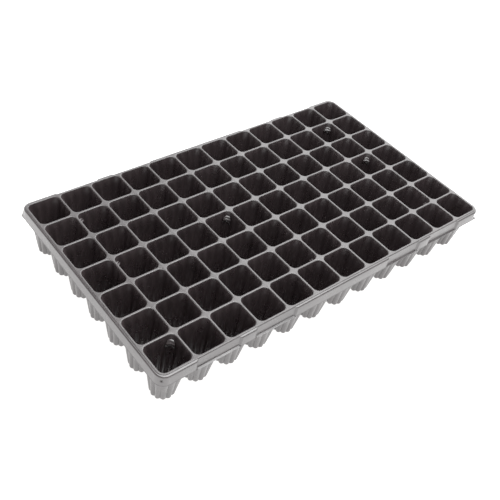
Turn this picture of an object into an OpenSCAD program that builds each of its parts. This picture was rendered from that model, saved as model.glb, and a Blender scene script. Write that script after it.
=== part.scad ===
// Plug tray: a formed sheet of tapered, fluted cells under a flat web, with a stepped rim and a skirt.
// Millimetres, +Z up, X along the long side. The origin is under the middle, at the feet of the cells.

/* [Cells] */
// Cells along the long side
columns = 12; // [11:1:14]
// Cells along the short side
rows = 7; // [3:1:9]
// Distance between cell centres along the long side
pitch_x = 43; // [42:0.5:46]
// Distance between cell centres along the short side
pitch_y = 41; // [40:0.5:46]
// Overall height, from the feet to the top of the web
height = 63.5; // [50:0.5:80]
// Thickness of the formed sheet
sheet = 0.8; // [0.6:0.1:1]
// Width of the flat web between two mouths
web = 2.8; // [2.4:0.1:4]
// Corner radius of a mouth
mouth_r = 7; // [5:0.5:9]
// Distance across the flutes of a cell at its foot
foot_w = 28.2; // [24:0.2:30]
// Depth of the grooves between the flutes at the foot
flute_depth = 1.5; // [1:0.1:2.2]
// Diameter of the drain hole in the floor
drain_d = 9; // [4:0.5:12]

/* [Rim] */
// How far the flat web runs out past the grid of cells
edge = 0.9; // [0.85:0.05:1.2]
// Drop from the web to the ledge around it
step = 1.4; // [1:0.1:2]
// Height of the skirt, from the web to its bottom edge
skirt = 15.7; // [12:0.1:20]
// How far the skirt's bottom edge stands out along the long sides
out_long = 4.4; // [4.2:0.1:6]
// How far the skirt's bottom edge stands out along the short sides
out_short = 3.8; // [3.6:0.1:6]
// Radius of the grid's corners
corner_r = 8.4; // [6.5:0.1:8.4]

/* [Bays in the long sides] */
// Length of the plain stretch in the middle
middle_l = 155; // [120:1:165]
// Length of one recessed bay
bay_l = 57.4; // [40:0.1:60]
// Length of the tab between two bays
tab_l = 22.4; // [20:0.1:30]
// Length over which the wall slopes into a bay
slope_l = 7; // [4:0.5:10]

/* [Denesting lugs] */
// Width of a lug
lug_w = 7.4; // [5:0.1:8]
// Height of a lug
lug_h = 4.5; // [3:0.1:6]
// Depth of a lug's top below the web
lug_drop = 6.5; // [4:0.1:9]
// How far a lug stands off the wall
lug_out = 2; // [1.5:0.1:3.5]

/* [Hidden] */
hairline = 0.02; // parting between neighbouring cells, so that each one is a solid
round_fn = 48; // facets of a preview circle
per_side = 6; // points of a cell's outline per side: five along it and one at the corner
turn_step = 15; // degrees from one point of a cell's foot to the next
ring_n = 4 * per_side;
grid_x = columns * pitch_x;
grid_y = rows * pitch_y;
long_half = grid_x / 2 - corner_r; // half length of the front and back rims
short_half = grid_y / 2 - corner_r; // half length of the left and right rims
lip_h = 1.4; // height of the lip that closes the bottom of a bay
lip_r = 0.9; // how far a tab's top edge stays inside its bottom edge
bay_top = 1.3; // where a bay's wall starts, past the grid
bay_foot = 2.1; // where a bay's wall meets the lip, past the grid
short_top = 2.6; // where a short side's wall starts, past the grid
corner_steps = 8;
lug_gap = 0.1; // parting between a lug and the wall behind it
// Cells that carry a lug, as [column, row, sign of x, sign of y] of the corner that it sits in.
lugs = [
    [1, 1, 1, 1], [5, 4, 1, 1], [11, 4, 1, 1], [11, 6, 1, 1],
    [2, 4, -1, 1], [2, 6, -1, 1],
    [2, 4, 1, -1], [6, 2, 1, -1], [8, 4, 1, -1], [11, 2, 1, -1]
];
body_colour = [0.20, 0.19, 0.20];
rim_colour = [0.27, 0.26, 0.27];
lug_colour = [0.35, 0.34, 0.35];

function two_digits(n) = str(n < 10 ? "0" : "", n);
function column_name(c) = str("cell_column_", two_digits(c));

function mix(a, b, t) = a + (b - a) * t;
function turn(p, k) = k == 0 ? p : turn([-p[1], p[0]], k - 1);
function cell_centre(c, r) = [(c - (columns + 1) / 2) * pitch_x, (r - (rows + 1) / 2) * pitch_y];

// A cell's outline has six points per side, counter-clockwise from the +X side: five along the side,
// the third in its middle, and one at the corner. The mouth is a square with round corners, and the foot
// is a ring of twelve flutes, where every second point is a groove.
function side_half(k) = ((k % 2 == 0 ? pitch_x : pitch_y) - web) / 2;
function mouth_point(k, i, grow) =
    let(inset = (mouth_r + grow) * (1 - cos(45)))
    i < 5
        ? [side_half(k) + grow, (side_half(k + 1) - mouth_r) * (i - 2) / 2]
        : [side_half(k) + grow - inset, side_half(k + 1) + grow - inset];
function foot_point(i, grow) =
    let(r = foot_w / 2 - sheet - (i % 2 == 1 ? flute_depth : 0) + grow, a = turn_step * (i - 2))
    [r * cos(a), r * sin(a)];
// The outline at a depth t, from 0 at the mouth to 1 at the foot, grown outwards, at a height z.
function outline(t, grow, z) = [
    for (k = [0:3], i = [0:per_side - 1])
        let(q = turn(mix(mouth_point(k, i, grow), foot_point(i, grow), t), k))
        [q[0], q[1], z]
];

// Faces between two rings of n points, the first at index a and the second above it at index b.
function wall_faces(a, b, n) = [
    for (i = [0:n - 1]) let(j = (i + 1) % n) each [[a + i, b + i, b + j], [a + i, b + j, a + j]]
];
function flipped(faces) = [for (f = faces) [for (i = [len(f) - 1:-1:0]) f[i]]];
// Faces of the flat plate between a cell's outline at index a and the tile's four corners at index b.
function plate_faces(a, b) = [
    for (k = [0:3])
        let(first = a + per_side * k, last = a + per_side * k + per_side - 2)
        each [
            concat([b + (k + 3) % 4], [for (i = [first:last]) i], [b + k]),
            [b + k, last, last + 1, a + (per_side * (k + 1)) % ring_n]
        ]
];
function tile_corners(z) = [
    for (k = [0:3])
        let(sx = k == 0 || k == 3 ? 1 : -1, sy = k < 2 ? 1 : -1)
        [sx * (pitch_x - hairline) / 2, sy * (pitch_y - hairline) / 2, z]
];

// One cell: a fluted cup of sheet thickness that hangs from its own tile of the web.
module cup() {
    foot_out = 0;
    web_under = ring_n;
    floor_in = 2 * ring_n;
    mouth_in = 3 * ring_n;
    tile_under = 4 * ring_n;
    tile_top = tile_under + 4;
    centre_under = tile_top + 4;
    centre_top = centre_under + 1;
    points = concat(
        outline(1, sheet, 0),
        outline(0, sheet, height - sheet),
        outline(1, 0, sheet),
        outline(0, 0, height),
        tile_corners(height - sheet),
        tile_corners(height),
        [[0, 0, 0], [0, 0, sheet]]
    );
    faces = concat(
        wall_faces(foot_out, web_under, ring_n),
        flipped(wall_faces(floor_in, mouth_in, ring_n)),
        plate_faces(mouth_in, tile_top),
        flipped(plate_faces(web_under, tile_under)),
        [for (k = [0:3])
            let(j = (k + 1) % 4)
            [tile_under + k, tile_top + k, tile_top + j, tile_under + j]],
        [for (i = [0:ring_n - 1])
            let(j = (i + 1) % ring_n)
            each [
                [centre_under, foot_out + i, foot_out + j],
                [centre_top, floor_in + j, floor_in + i]
            ]]
    );
    difference() {
        polyhedron(points = points, faces = faces);
        translate([0, 0, -1]) cylinder(d = drain_d, h = sheet + 2, $fn = round_fn);
    }
}

// The grid's plan with its four round corners, as a block over the whole height.
module grid_block() {
    translate([0, 0, -1]) linear_extrude(height + 2) union() {
        square([grid_x, grid_y - 2 * corner_r], center = true);
        square([grid_x - 2 * corner_r, grid_y], center = true);
        for (sx = [-1, 1], sy = [-1, 1])
            translate([sx * long_half, sy * short_half]) circle(r = corner_r, $fn = round_fn);
    }
}

module cell(c, r) {
    at_corner = (c == 1 || c == columns) && (r == 1 || r == rows);
    if (at_corner) {
        intersection() {
            translate(cell_centre(c, r)) cup();
            grid_block();
        }
    } else {
        translate(cell_centre(c, r)) cup();
    }
}

module cell_column(c) {
    color(body_colour) for (r = [1:rows]) cell(c, r);
}

// The rim's section as [distance out past the grid, height]: first the outer face from the web to the
// bottom edge, then the inner face back again.
function rim_outer(wall_top, wall_foot, out) = [
    [0, height], [edge, height], [edge, height - step], [wall_top, height - step],
    [wall_foot, height - skirt + lip_h], [out, height - skirt]
];
function rim_section(wall_top, wall_foot, out) =
    let(face = rim_outer(wall_top, wall_foot, out))
    concat(
        face,
        [[out - sheet, height - skirt]],
        [for (i = [4:-1:1]) [face[i][0] - sheet, face[i][1] - sheet]],
        [[0, height - sheet]]
    );
function tab_section() = rim_section(out_long - lip_r, out_long - lip_r * lip_h / skirt, out_long);
function bay_section() = rim_section(bay_top, bay_foot, out_long);
function short_section() =
    rim_section(short_top, out_short - (out_short - short_top) * lip_h / skirt, out_short);

// A solid through a list of rings that all have the same number of points.
module swept(rings) {
    n = len(rings[0]);
    last = n * (len(rings) - 1);
    polyhedron(
        points = [for (ring = rings) each ring],
        faces = concat(
            [for (s = [0:len(rings) - 2]) each wall_faces(n * s, n * (s + 1), n)],
            [for (f = cap_faces(0)) f],
            flipped([for (f = cap_faces(last)) f])
        )
    );
}
// The section is a bent strip, so its end caps are strips of quads between its two faces.
function cap_faces(a) = [
    for (i = [0:4]) each [[a + i, a + i + 1, a + 10 - i], [a + i, a + 10 - i, a + 11 - i]]
];

// Where the long sides change between tab and bay, as [distance from the middle, 1 in a bay].
bay_turns = [
    for (k = [0:1])
        let(start = middle_l / 2 + k * (bay_l + tab_l))
        each [
            [start - slope_l / 2, 0], [start + slope_l / 2, 1],
            [start + bay_l - slope_l / 2, 1], [start + bay_l + slope_l / 2, 0]
        ]
];
long_stations = concat(
    [[-long_half, 0]],
    [for (i = [len(bay_turns) - 1:-1:0]) [-bay_turns[i][0], bay_turns[i][1]]],
    bay_turns,
    [[long_half, 0]]
);

module long_rim() {
    color(rim_colour) swept([
        for (s = long_stations)
            [for (p = mix(tab_section(), bay_section(), s[1])) [s[0], -grid_y / 2 - p[0], p[1]]]
    ]);
}

module short_rim() {
    color(rim_colour) swept([
        for (y = [short_half, -short_half])
            [for (p = short_section()) [-grid_x / 2 - p[0], y, p[1]]]
    ]);
}

module corner() {
    color(rim_colour) swept([
        for (s = [0:corner_steps])
            let(t = s / corner_steps, a = 180 + 90 * t)
            [for (p = mix(short_section(), tab_section(), t))
                [-long_half + (corner_r + p[0]) * cos(a), -short_half + (corner_r + p[0]) * sin(a), p[1]]]
    ]);
}

module rim_front() { long_rim(); }
module rim_back() { mirror([0, 1, 0]) long_rim(); }
module rim_left() { short_rim(); }
module rim_right() { mirror([1, 0, 0]) short_rim(); }
module corner_front_left() { corner(); }
module corner_front_right() { mirror([1, 0, 0]) corner(); }
module corner_back_left() { mirror([0, 1, 0]) corner(); }
module corner_back_right() { mirror([1, 0, 0]) mirror([0, 1, 0]) corner(); }

// How far a cell's corner is from its centre along the diagonal, at a depth share t.
function corner_reach(t) =
    let(p = mix(mouth_point(0, 5, 0), foot_point(5, 0), t)) (p[0] + p[1]) / sqrt(2);
// A lug's outline in a frame whose +X points along the cell's diagonal: its back follows the corner,
// and its front stands off it.
function lug_outline(reach, z) =
    let(
        back = reach - mouth_r + sqrt(mouth_r * mouth_r - lug_w * lug_w / 4),
        front = back - lug_out,
        front_half = lug_w / 2 - lug_out / 2
    )
    [[reach, 0, z], [back, lug_w / 2, z], [front, front_half, z], [front, -front_half, z], [back, -lug_w / 2, z]];

// The lug keeps its outline as it follows the wall down, so it is a slanted prism.
module lug() {
    top = lug_outline(corner_reach(lug_drop / height) - lug_gap, height - lug_drop);
    foot = lug_outline(corner_reach((lug_drop + lug_h) / height) - lug_gap, height - lug_drop - lug_h);
    polyhedron(
        points = concat(foot, top),
        faces = concat(wall_faces(0, 5, 5), [[0, 1, 2, 3, 4]], [[9, 8, 7, 6, 5]])
    );
}

module denesting_lugs() {
    color(lug_colour) for (l = lugs)
        translate(cell_centre(l[0], l[1])) rotate(atan2(l[3], l[2])) lug();
}

for (c = [1:columns]) cell_column(c);
rim_front();
rim_back();
rim_left();
rim_right();
corner_front_left();
corner_front_right();
corner_back_left();
corner_back_right();
denesting_lugs();
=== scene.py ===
"""The looks of a black formed plug tray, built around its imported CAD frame.

Everything is in metres, +Z up, X along the tray's long side, with the feet of the cells on z = 0.
"""
import math

import bmesh
import bpy
from mathutils import Matrix, Vector

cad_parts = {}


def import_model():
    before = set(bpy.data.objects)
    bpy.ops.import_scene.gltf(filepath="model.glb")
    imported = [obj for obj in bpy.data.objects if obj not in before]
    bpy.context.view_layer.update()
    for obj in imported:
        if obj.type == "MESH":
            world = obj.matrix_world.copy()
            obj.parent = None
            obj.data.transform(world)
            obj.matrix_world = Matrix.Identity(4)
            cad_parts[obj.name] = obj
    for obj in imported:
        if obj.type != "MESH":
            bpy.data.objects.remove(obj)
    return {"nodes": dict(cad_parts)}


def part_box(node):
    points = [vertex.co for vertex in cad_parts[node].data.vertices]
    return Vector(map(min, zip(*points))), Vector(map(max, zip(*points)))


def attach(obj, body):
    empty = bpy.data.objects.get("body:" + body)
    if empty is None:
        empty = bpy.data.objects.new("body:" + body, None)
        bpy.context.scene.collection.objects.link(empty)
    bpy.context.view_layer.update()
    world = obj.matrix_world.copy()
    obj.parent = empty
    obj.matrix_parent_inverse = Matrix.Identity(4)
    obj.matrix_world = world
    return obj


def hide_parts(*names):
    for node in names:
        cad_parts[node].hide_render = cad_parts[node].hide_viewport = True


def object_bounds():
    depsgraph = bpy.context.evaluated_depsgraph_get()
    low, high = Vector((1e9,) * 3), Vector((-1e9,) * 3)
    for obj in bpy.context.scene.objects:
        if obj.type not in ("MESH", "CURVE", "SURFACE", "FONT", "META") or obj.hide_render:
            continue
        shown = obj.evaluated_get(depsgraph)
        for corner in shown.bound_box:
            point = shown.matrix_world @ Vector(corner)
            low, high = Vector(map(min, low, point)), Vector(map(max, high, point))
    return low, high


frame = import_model()
cad_low, cad_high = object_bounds()

MM = 0.001

# The grid, from the frame.
COLUMN_NODES = sorted(name for name in frame["nodes"] if name.startswith("cell_column_"))
ROWS = 7
GRID_X = -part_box("rim_left")[1][0]  # half the grid's length
GRID_Y = -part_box("rim_front")[1][1]  # half the grid's width
PITCH_X = 2 * GRID_X / len(COLUMN_NODES)
PITCH_Y = 2 * GRID_Y / ROWS
TOP = cad_high.z
OUT_LONG = -cad_low.y - GRID_Y  # how far the skirt stands out along the long sides
OUT_SHORT = -cad_low.x - GRID_X
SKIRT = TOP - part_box("rim_front")[0][2]  # height of the skirt
SHEET = 0.8 * MM
WELD = 0.001 * MM  # points closer than this are one point
CREASE = 55  # edges that turn by more than this many degrees stay sharp

# One cell, measured on its inner face.
WEB = 2.8 * MM  # width of the strip between two cells
MOUTH_R = 7.0 * MM
MOUTH_FILLET = 1.1 * MM
MOUTH_TURN = 84  # degrees that the fillet turns, to meet the leaning wall
FOOT_R = 13.8 * MM  # from the centre to a flute's crest
FOOT_FILLET = 2.6 * MM
FLUTES_PER_SIDE = 3
FLUTE_DEPTH = 2.1 * MM
FLUTE_START = 0.75  # a flute's depth at the mouth, as a share of its depth at the foot
FLUTE_RISE = 7  # a flute fades in over the top 1 / FLUTE_RISE of the wall
DRAIN_R = 4.5 * MM

# How finely a cell is cut. The shares run from 0 at an area's outer or upper end to 1 at its other end.
POINTS_PER_FLUTE = 6
SIDE_POINTS = FLUTES_PER_SIDE * POINTS_PER_FLUTE
MOUTH_STEPS = 5
WALL_SHARES = (0.05, 0.12, 0.22, 0.34, 0.47, 0.6, 0.73, 0.85, 0.94, 1)
FOOT_STEPS = 4
FLOOR_SHARES = (0.5, 1)

# The rim, as distances out past the grid and down from the web.
CORNER_R = WEB / 2 + MOUTH_R
EDGE = 0.9 * MM  # width of the flat edge round the grid
EDGE_R = 0.5 * MM
STEP = 0.7 * MM  # height of the step down to the ledge
STEP_RUN = 0.5 * MM
LEDGE_FALL = 0.25 * MM
LIP = 0.8 * MM  # height of the flared strip at the skirt's foot

# Along a long side: a middle part, then a bay, a tab, a bay and the end part to each side of it.
MIDDLE_L = 155.0 * MM
BAY_L = 57.4 * MM
TAB_L = 22.4 * MM
SLOPE_L = 3.5 * MM  # length of the slope between a bay and its neighbour
SLOPE_STEPS = 10
END_STRIP = 0.2 * MM  # a narrow strip at each end of a side keeps the shading level up to its seam


def mix(a, b, t):
    return a + (b - a) * t


def smooth(t):
    """An even curve from 0 to 1, level at both ends and beyond them."""
    t = min(max(t, 0.0), 1.0)
    return t * t * (3 - 2 * t)


# ---------------------------------------------------------------- materials

# The sheet's patterns. A scale is how many of a pattern's blotches fit in a metre.
CLOUD_SCALE = 28
CLOUD_TONES = (0.8, 1.3)  # the darkest and the palest cloud, as shares of the tone
GLOSS_SCALE = 90
GLOSS_SPREAD = 0.05
GRAIN_SCALE = 2200
GRAIN_HEIGHT = 0.05 * MM


def plastic(name, tone, rough, grain):
    """Satin black formed sheet: a fine grain, and faint clouds in the tone and in the gloss."""
    material = bpy.data.materials.new(name)
    material.use_nodes = True
    nodes, links = material.node_tree.nodes, material.node_tree.links
    shader = nodes["Principled BSDF"]
    place = nodes.new("ShaderNodeTexCoord")

    def noise(scale, detail, roughness=0.5):
        node = nodes.new("ShaderNodeTexNoise")
        node.inputs["Scale"].default_value = scale
        node.inputs["Detail"].default_value = detail
        node.inputs["Roughness"].default_value = roughness
        links.new(place.outputs["Object"], node.inputs["Vector"])
        return node.outputs["Fac"]

    def ramp(value, low, high, from_value, to_value):
        node = nodes.new("ShaderNodeMapRange")
        node.inputs["From Min"].default_value = low
        node.inputs["From Max"].default_value = high
        node.inputs["To Min"].default_value = from_value
        node.inputs["To Max"].default_value = to_value
        links.new(value, node.inputs["Value"])
        return node.outputs["Result"]

    dark, pale = CLOUD_TONES
    colour = nodes.new("ShaderNodeMix")
    colour.data_type = "RGBA"
    colour.inputs["A"].default_value = (*[c * dark for c in tone], 1)
    colour.inputs["B"].default_value = (*[c * pale for c in tone], 1)
    links.new(ramp(noise(CLOUD_SCALE, 4), 0.35, 0.65, 0, 1), colour.inputs["Factor"])
    links.new(colour.outputs["Result"], shader.inputs["Base Color"])
    gloss = ramp(noise(GLOSS_SCALE, 5), 0.3, 0.7, rough - GLOSS_SPREAD, rough + GLOSS_SPREAD)
    links.new(gloss, shader.inputs["Roughness"])
    bump = nodes.new("ShaderNodeBump")
    bump.inputs["Strength"].default_value = grain
    bump.inputs["Distance"].default_value = GRAIN_HEIGHT
    links.new(noise(GRAIN_SCALE, 3, 0.6), bump.inputs["Height"])
    links.new(bump.outputs["Normal"], shader.inputs["Normal"])
    shader.inputs["Specular IOR Level"].default_value = 1.0
    return material


# ---------------------------------------------------------------- one cell's surface


def side_outline(u, half, along, radius):
    """A point and its outward direction on a rounded rectangle's +X side, from one diagonal to the next.

    u runs from 0 to 1 along it. half is the side's distance from the centre, along half its length.
    """
    arc = radius * math.pi / 4
    straight = 2 * (along - radius)
    at = u * (2 * arc + straight)
    if at < arc:
        angle = at / radius - math.pi / 4
        centre = Vector((half - radius, radius - along))
    elif at > arc + straight:
        angle = (at - arc - straight) / radius
        centre = Vector((half - radius, along - radius))
    else:
        return Vector((half, radius - along + at - arc)), Vector((1, 0))
    out = Vector((math.cos(angle), math.sin(angle)))
    return centre + radius * out, out


def turned(point, quarter):
    """The point, turned about the cell's centre by a number of quarter turns."""
    for _ in range(quarter % 4):
        point = Vector((-point.y, point.x))
    return point


def wall_point(at, depth, grow, fluted=True):
    """A point of a cell's inner wall. at counts sides from the -Y +X corner, depth is a share from 0 at
    the mouth to 1 at the foot, and grow moves the point outwards. Without flutes, the wall is level
    with the ridges between them."""
    quarter = math.floor(at)
    u = at - quarter
    size = (PITCH_X, PITCH_Y) if quarter % 2 == 0 else (PITCH_Y, PITCH_X)
    half, along = ((s - WEB) / 2 for s in size)
    mouth, mouth_out = side_outline(u, half, along, MOUTH_R)
    turn = math.radians(90 * (u - 0.5))
    foot_out = Vector((math.cos(turn), math.sin(turn)))
    out = mouth_out.lerp(foot_out, depth).normalized()
    flute = FLUTE_DEPTH * smooth(depth * FLUTE_RISE) * mix(FLUTE_START, 1, depth)
    groove = flute * (1 - abs(math.sin(math.pi * FLUTES_PER_SIDE * u))) if fluted else flute
    point = mouth.lerp(foot_out * FOOT_R, depth) + out * (grow - groove)
    return turned(point, quarter)


def ring(depth, grow):
    """The cell's inner wall at one depth, as a closed ring of points."""
    return [wall_point(i / SIDE_POINTS, depth, grow) for i in range(4 * SIDE_POINTS)]


def tile_ring(rounded):
    """The tile's border, with a point for each point of the mouth. rounded names the quarters whose
    first corner is one of the tray's own."""
    points = []
    for quarter in range(4):
        wide, high = (PITCH_X, PITCH_Y) if quarter % 2 == 0 else (PITCH_Y, PITCH_X)
        half, along = (wide - WEB) / 2 + MOUTH_FILLET, (high - WEB) / 2 + MOUTH_FILLET
        radius = MOUTH_R + MOUTH_FILLET
        arc = radius * math.pi / 4
        length = 2 * arc + 2 * (along - radius)
        for i in range(SIDE_POINTS):
            at = i / SIDE_POINTS * length
            point, out = side_outline(i / SIDE_POINTS, half, along, radius)
            corner = quarter if at < arc else (quarter + 1) % 4
            end = min(at, length - at)
            if end < arc and corner in rounded:
                centre = point - out * radius
                edge = centre + out * CORNER_R
            else:
                share = min(end / arc, 1)
                edge = Vector((wide / 2, math.copysign(mix(high / 2, abs(point.y), share), point.y)))
            points.append(turned(edge, quarter))
    return points


def cell_rings():
    """The cell's inner face from the web down to the drain hole, as rings of (points, height)."""
    rings = []
    for step in range(MOUTH_STEPS + 1):
        angle = math.radians(MOUTH_TURN) * step / MOUTH_STEPS
        out = MOUTH_FILLET * (1 - math.sin(angle))
        rings.append((ring(0, out), TOP - MOUTH_FILLET * (1 - math.cos(angle))))
    wall_top, wall_foot = TOP - MOUTH_FILLET, SHEET + FOOT_FILLET
    for share in WALL_SHARES:
        rings.append((ring(share, 0), mix(wall_top, wall_foot, share)))
    for step in range(1, FOOT_STEPS + 1):
        angle = math.pi / 2 * step / FOOT_STEPS
        out = -FOOT_FILLET * (1 - math.cos(angle))
        rings.append((ring(1, out), wall_foot - FOOT_FILLET * math.sin(angle)))
    last = rings[-1][0]
    drain = [p.normalized() * DRAIN_R for p in last]
    for share in FLOOR_SHARES:
        rings.append(([mix(a, b, share) for a, b in zip(last, drain)], SHEET))
    return rings


CELL_RINGS = cell_rings()


def add_cell(bm, centre, rounded):
    """Adds a cell's inner face and its tile of the web."""
    rows = [[bm.verts.new((centre.x + p.x, centre.y + p.y, TOP)) for p in tile_ring(rounded)]]
    for points, height in CELL_RINGS:
        rows.append([bm.verts.new((centre.x + p.x, centre.y + p.y, height)) for p in points])
    for outer, inner in zip(rows, rows[1:]):
        for i in range(len(outer)):
            j = (i + 1) % len(outer)
            bm.faces.new((outer[i], outer[j], inner[j], inner[i]))


def finish_sheet(bm, name, material, nodes, thickness=SHEET):
    """Gives an open skin its sheet thickness, away from its faces' normals, and places it in the frame."""
    bmesh.ops.remove_doubles(bm, verts=bm.verts, dist=WELD)
    mesh = bpy.data.meshes.new(name)
    bm.to_mesh(mesh)
    bm.free()
    piece = bpy.data.objects.new(name, mesh)
    bpy.context.collection.objects.link(piece)
    solid = piece.modifiers.new("sheet", "SOLIDIFY")
    solid.thickness = thickness
    solid.offset = -1
    solid.use_even_offset = True
    solid.thickness_clamp = 0
    depsgraph = bpy.context.evaluated_depsgraph_get()
    solid_mesh = bpy.data.meshes.new_from_object(piece.evaluated_get(depsgraph))
    piece.modifiers.clear()
    piece.data = solid_mesh
    bpy.data.meshes.remove(mesh)
    solid_mesh.name = name
    solid_mesh.polygons.foreach_set("use_smooth", [True] * len(solid_mesh.polygons))
    solid_mesh.set_sharp_from_angle(angle=math.radians(CREASE))
    solid_mesh.materials.clear()
    solid_mesh.materials.append(material)
    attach(piece, "root")
    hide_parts(*nodes)


def cell_centre(column, row):
    """The centre of a cell, counted from 0 at the front left."""
    return Vector(((column + 0.5) * PITCH_X - GRID_X, (row + 0.5) * PITCH_Y - GRID_Y))


def cell_column(column, node, material):
    """One column of cells. The grid's four outer cells get the tray's round corners."""
    first, last = column == 0, column == len(COLUMN_NODES) - 1
    bm = bmesh.new()
    for row in range(ROWS):
        rounded = set()
        if row == 0:
            rounded |= ({3} if first else set()) | ({0} if last else set())
        if row == ROWS - 1:
            rounded |= ({2} if first else set()) | ({1} if last else set())
        add_cell(bm, cell_centre(column, row), rounded)
    finish_sheet(bm, "tray_" + node, material, [node])


# ---------------------------------------------------------------- the denesting lugs

# Cells that carry a lug, as (column, row, corner). Columns and rows count from 1 at the front left, and
# corners count like the sides of wall_point.
LUGS = [
    (1, 1, 1), (5, 4, 1), (11, 4, 1), (11, 6, 1), (2, 4, 2), (2, 6, 2),
    (2, 4, 0), (6, 2, 0), (8, 4, 0), (11, 2, 0),
]
LUG_SHEET = 0.4 * MM
LUG_ROOT = -0.6  # a lug's edges, in millimetres in from the wall's face: they lie inside its sheet
# A lug's face, as (millimetres in from the wall, millimetres down from the web, share of its width): a
# small ledge over a wider shoulder.
LUG_PROFILE = [
    (LUG_ROOT, 6.2, 0.75), (0.1, 6.3, 0.75), (0.5, 6.5, 0.75), (0.65, 6.9, 0.78), (0.7, 8.3, 0.85),
    (0.85, 8.7, 0.95), (1.5, 9.0, 1), (1.9, 9.4, 1), (2.0, 10.1, 1), (1.7, 11.0, 1),
    (0.9, 12.6, 1), (LUG_ROOT, 15.0, 0.9),
]
LUG_SAG = 1.3  # millimetres that a lug's ends hang below its middle
LUG_REACH = 0.19  # how far a lug runs to each side of its corner, as a share of a cell's side
LUG_HALF_STEPS = 7


def denesting_lugs(material):
    """The bumps at some cells' corners that hold the next tray up when trays are stacked."""
    bm = bmesh.new()
    for column, row, corner_at in LUGS:
        centre = cell_centre(column - 1, row - 1)
        rows = []
        for stand, depth, width in LUG_PROFILE:
            points = []
            for step in range(-LUG_HALF_STEPS, LUG_HALF_STEPS + 1):
                share = step / LUG_HALF_STEPS
                bulge = math.sqrt(max(1 - share**4, 0))
                below = (depth + LUG_SAG * share * share) * MM
                inwards = mix(LUG_ROOT, stand, bulge) * MM
                at = corner_at + share * width * LUG_REACH
                spot = wall_point(at, below / TOP, -inwards, fluted=False)
                points.append((centre.x + spot.x, centre.y + spot.y, TOP - below))
            rows.append([bm.verts.new(p) for p in points])
        for one, two in zip(rows, rows[1:]):
            for i in range(len(one) - 1):
                bm.faces.new((one[i], one[i + 1], two[i + 1], two[i]))
    finish_sheet(bm, "tray_denesting_lugs", material, ["denesting_lugs"], LUG_SHEET)


# ---------------------------------------------------------------- the rim and skirt


def rounded_path(points, radii, steps=5):
    """A polyline with its inner corners turned into arcs, each of steps + 1 points."""
    path = [Vector(points[0])]
    for before, here, after, radius in zip(points, points[1:], points[2:], radii):
        before, here, after = Vector(before), Vector(here), Vector(after)
        a, b = (before - here).normalized(), (after - here).normalized()
        half_angle = a.angle(b) / 2
        reach = radius / math.tan(half_angle)
        centre = here + (a + b).normalized() * (radius / math.sin(half_angle))
        start, end = here + a * reach - centre, here + b * reach - centre
        swing = start.angle_signed(end)
        for i in range(steps + 1):
            path.append(centre + Matrix.Rotation(-swing * i / steps, 2) @ start)
    path.append(Vector(points[-1]))
    return path


def section(wall_top, wall_foot, out, radii):
    """The rim's outer face as (distance out past the grid, height). The radii round the edge, the step's
    foot, the shoulder between ledge and wall, and the top of the lip."""
    return rounded_path(
        [
            (0, TOP),
            (EDGE, TOP),
            (EDGE + STEP_RUN, TOP - STEP),
            (wall_top, TOP - STEP - LEDGE_FALL),
            (wall_foot, TOP - SKIRT + LIP),
            (out, TOP - SKIRT),
        ],
        radii,
    )


TAB = section(
    wall_top=4.3 * MM,
    wall_foot=OUT_LONG - 0.3 * MM,
    out=OUT_LONG,
    radii=[EDGE_R, 0.4 * MM, 1.9 * MM, 0.4 * MM],
)
BAY = section(
    wall_top=EDGE + STEP_RUN + 0.3 * MM,
    wall_foot=2.1 * MM,
    out=OUT_LONG,
    radii=[EDGE_R, 0.1 * MM, 0.1 * MM, 0.7 * MM],
)
SHORT = section(
    wall_top=3.75 * MM,
    wall_foot=OUT_SHORT - 0.35 * MM,
    out=OUT_SHORT,
    radii=[EDGE_R, 0.4 * MM, 1.7 * MM, 0.4 * MM],
)


def mixed(a, b, t):
    """Two profiles mixed point by point."""
    return [mix(p, q, t) for p, q in zip(a, b)]


def swept(name, stations, material, nodes):
    """A piece of the rim: a skin through a list of stations, each a list of 3D points."""
    bm = bmesh.new()
    rows = [[bm.verts.new(p) for p in points] for points in stations]
    for one, two in zip(rows, rows[1:]):
        for i in range(len(one) - 1):
            bm.faces.new((one[i], one[i + 1], two[i + 1], two[i]))
    finish_sheet(bm, name, material, nodes)


def bay_share(x):
    """How far the wall stands back in a bay at a distance x along a long side: 0 in a tab, 1 in a bay."""
    x = abs(x)
    share = 0
    for k in range(2):
        start = MIDDLE_L / 2 + k * (BAY_L + TAB_L)
        share += smooth((x - start) / SLOPE_L + 0.5) - smooth((x - start - BAY_L) / SLOPE_L + 0.5)
    return share


def long_positions():
    """Stations along a long side: fine over the slopes, a few elsewhere."""
    end = GRID_X - CORNER_R
    half = [0.0, 0.25 * MIDDLE_L]
    for k in range(2):
        start = MIDDLE_L / 2 + k * (BAY_L + TAB_L)
        for turn in (start, start + BAY_L):
            half += [turn + SLOPE_L * (i / SLOPE_STEPS - 0.5) for i in range(SLOPE_STEPS + 1)]
    half += [end - END_STRIP, end]
    return sorted({-x for x in half} | set(half))


def long_rim(name, node, sign, material):
    """A long side's rim. sign is its side's sign in Y."""
    stations = [
        [(x * -sign, (GRID_Y + p.x) * sign, p.y) for p in mixed(TAB, BAY, bay_share(x))]
        for x in long_positions()
    ]
    swept(name, stations, material, [node])


def short_rim(name, node, sign, material):
    """A short side's rim. sign is its side's sign in X."""
    end = GRID_Y - CORNER_R
    stations = [
        [((GRID_X + p.x) * sign, y * sign, p.y) for p in SHORT]
        for y in (-end, END_STRIP - end, 0, end - END_STRIP, end)
    ]
    swept(name, stations, material, [node])


# How finely a corner is cut, down its wall and round it. END_TURN is the narrow first and last step, in
# degrees, which keeps the shading level up to the seams.
WALL_STEPS = 26
CORNER_STEPS = 48
END_TURN = 0.3

# Three corners' skirts pull out towards a squarer trimmed edge at the bottom.
TRIM_R = 3.0 * MM

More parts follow.
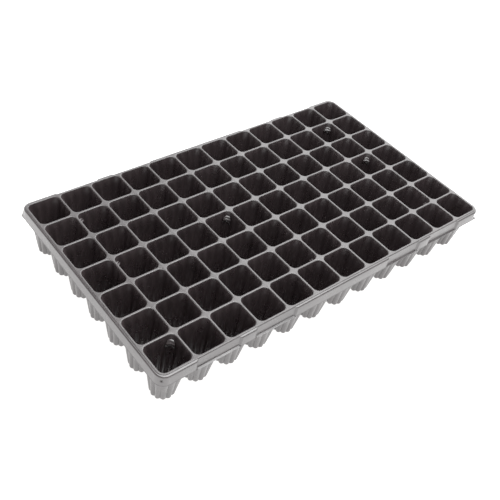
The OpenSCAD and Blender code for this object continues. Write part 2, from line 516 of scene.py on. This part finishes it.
# A moulding mark in the front left corner's skirt: a small round dimple.
DIMPLE_DROP = 7.3 * MM
DIMPLE_ANGLE = 48.5  # degrees round from the short side
DIMPLE_SLOPE = 1.75 * MM  # width of its sloping side
DIMPLE_R = 1.35 * DIMPLE_SLOPE
DIMPLE_DEPTH = 1.7 * MM


def with_wall_points(profile):
    """The profile with its long straight wall cut into short steps."""
    drops = [(a - b).length for a, b in zip(profile, profile[1:])]
    k = drops.index(max(drops))
    between = [profile[k].lerp(profile[k + 1], i / WALL_STEPS) for i in range(1, WALL_STEPS)]
    return profile[: k + 1] + between + profile[k + 1 :]


def trimmed_reach(angle, side):
    """The distance from the middle of a square to its edge, in one direction. side is half its width,
    and TRIM_R rounds its corners."""
    c, s = math.cos(angle), math.sin(angle)
    inset = side - TRIM_R
    if side * min(c, s) < inset * max(c, s):
        return side / max(c, s)
    return inset * (c + s) + math.sqrt(TRIM_R**2 - (inset * (c - s)) ** 2)


def corner(name, node, sign_x, sign_y, material, flare=0, dimple=0):
    """A corner of the rim. flare is how late its skirt pulls out, as a power of the depth, or 0 for a
    round corner. dimple is the depth of its dimple."""
    steps = [90 * i / CORNER_STEPS for i in range(1, CORNER_STEPS)]
    angles = [0, END_TURN, *steps, 90 - END_TURN, 90]
    if sign_x * sign_y < 0:
        angles.reverse()
    stations = []
    for angle in angles:
        turn = math.radians(angle)
        points = []
        for p in with_wall_points(mixed(SHORT, TAB, smooth(angle / 90))):
            reach = CORNER_R + p.x
            if flare:
                reach = mix(reach, trimmed_reach(turn, reach), ((TOP - p.y) / SKIRT) ** flare)
            around = (turn - math.radians(DIMPLE_ANGLE)) * reach
            away = math.hypot(around, p.y - TOP + DIMPLE_DROP)
            reach -= dimple * smooth((DIMPLE_R - away) / DIMPLE_SLOPE)
            points.append((
                sign_x * (GRID_X - CORNER_R + reach * math.cos(turn)),
                sign_y * (GRID_Y - CORNER_R + reach * math.sin(turn)),
                p.y,
            ))
        stations.append(points)
    swept(name, stations, material, [node])


# ---------------------------------------------------------------- stage, light and camera

# The light table is a disc with a wall round it, in metres.
STAGE_R = 40.0
STAGE_WALL = 10.0
STAGE_SIDES = 96


def floor(glow):
    """A white light table with a low white wall far round it. It glows, so the object hardly shades it."""
    material = bpy.data.materials.new("light_table")
    material.use_nodes = True
    shader = material.node_tree.nodes["Principled BSDF"]
    shader.inputs["Base Color"].default_value = (0.55, 0.55, 0.55, 1)
    shader.inputs["Roughness"].default_value = 0.9
    shader.inputs["Specular IOR Level"].default_value = 0.0
    shader.inputs["Emission Color"].default_value = (1, 0.99, 0.98, 1)
    shader.inputs["Emission Strength"].default_value = glow
    turns = [2 * math.pi * i / STAGE_SIDES for i in range(STAGE_SIDES)]
    low = [(STAGE_R * math.cos(t), STAGE_R * math.sin(t), 0) for t in turns]
    high = [(x, y, STAGE_WALL) for x, y, _ in low]
    following = [*range(1, STAGE_SIDES), 0]
    walls = [(i, j, j + STAGE_SIDES, i + STAGE_SIDES) for i, j in enumerate(following)]
    mesh = bpy.data.meshes.new("floor")
    mesh.from_pydata(low + high, [], [tuple(range(STAGE_SIDES)), *walls])
    mesh.materials.append(material)
    table = bpy.data.objects.new("floor", mesh)
    bpy.context.collection.objects.link(table)


def softbox(name, place, size, radiance):
    """A rectangular lamp, aimed at the origin. radiance is its face's brightness, in the world's units."""
    light = bpy.data.lights.new(name, "AREA")
    light.shape = "RECTANGLE"
    light.size, light.size_y = size
    light.energy = radiance * math.pi * size[0] * size[1]
    lamp = bpy.data.objects.new(name, light)
    lamp.location = place
    lamp.rotation_mode = "QUATERNION"
    lamp.rotation_quaternion = (-Vector(place)).to_track_quat("-Z", "Y")
    bpy.context.collection.objects.link(lamp)


def camera():
    """The camera looks down on the tray from beyond its front left corner, slightly rolled."""
    aim = Vector((-0.0681, 0.0053, TOP))
    azimuth, elevation, roll = math.radians(45.24), math.radians(41.78), math.radians(11.06)
    distance = 0.9065
    forward = Vector((
        math.sin(azimuth) * math.cos(elevation),
        math.cos(azimuth) * math.cos(elevation),
        -math.sin(elevation),
    ))
    data = bpy.data.cameras.new("camera")
    data.sensor_width = 36
    data.lens = 53.36
    data.shift_x, data.shift_y = 0.0586, -0.055
    cam = bpy.data.objects.new("camera", data)
    cam.location = aim - forward * distance
    cam.rotation_mode = "QUATERNION"
    level = forward.to_track_quat("-Z", "Y")
    cam.rotation_quaternion = level @ Matrix.Rotation(roll, 3, "Z").to_quaternion()
    bpy.context.collection.objects.link(cam)
    bpy.context.scene.camera = cam


def world(strength):
    scene_world = bpy.data.worlds.new("studio")
    scene_world.use_nodes = True
    background = scene_world.node_tree.nodes["Background"]
    background.inputs["Color"].default_value = (1, 1, 1, 1)
    background.inputs["Strength"].default_value = strength
    bpy.context.scene.world = scene_world


# ---------------------------------------------------------------- build

camera()
black = plastic("black_sheet", tone=(0.025, 0.0185, 0.0195), rough=0.30, grain=0.12)
for index, node_name in enumerate(COLUMN_NODES):
    cell_column(index, node_name, black)
long_rim("tray_rim_front", "rim_front", -1, black)
long_rim("tray_rim_back", "rim_back", 1, black)
short_rim("tray_rim_left", "rim_left", -1, black)
short_rim("tray_rim_right", "rim_right", 1, black)
corner("tray_corner_front_left", "corner_front_left", -1, -1, black, dimple=DIMPLE_DEPTH)
corner("tray_corner_front_right", "corner_front_right", 1, -1, black, flare=6)
corner("tray_corner_back_left", "corner_back_left", -1, 1, black, flare=1.3)
corner("tray_corner_back_right", "corner_back_right", 1, 1, black, flare=3)
denesting_lugs(black)

floor(glow=1.05)
world(strength=0.12)
softbox("overhead", place=(0.35, -0.1, 1.8), size=(1.6, 1.6), radiance=6.0)
softbox("right", place=(2.2, 0.8, 1.5), size=(2.4, 2.0), radiance=2.8)
softbox("back", place=(0.9, 2.4, 1.6), size=(2.4, 2.0), radiance=1.4)
view = bpy.context.scene.view_settings
view.view_transform = "Standard"
view.gamma = 1.3
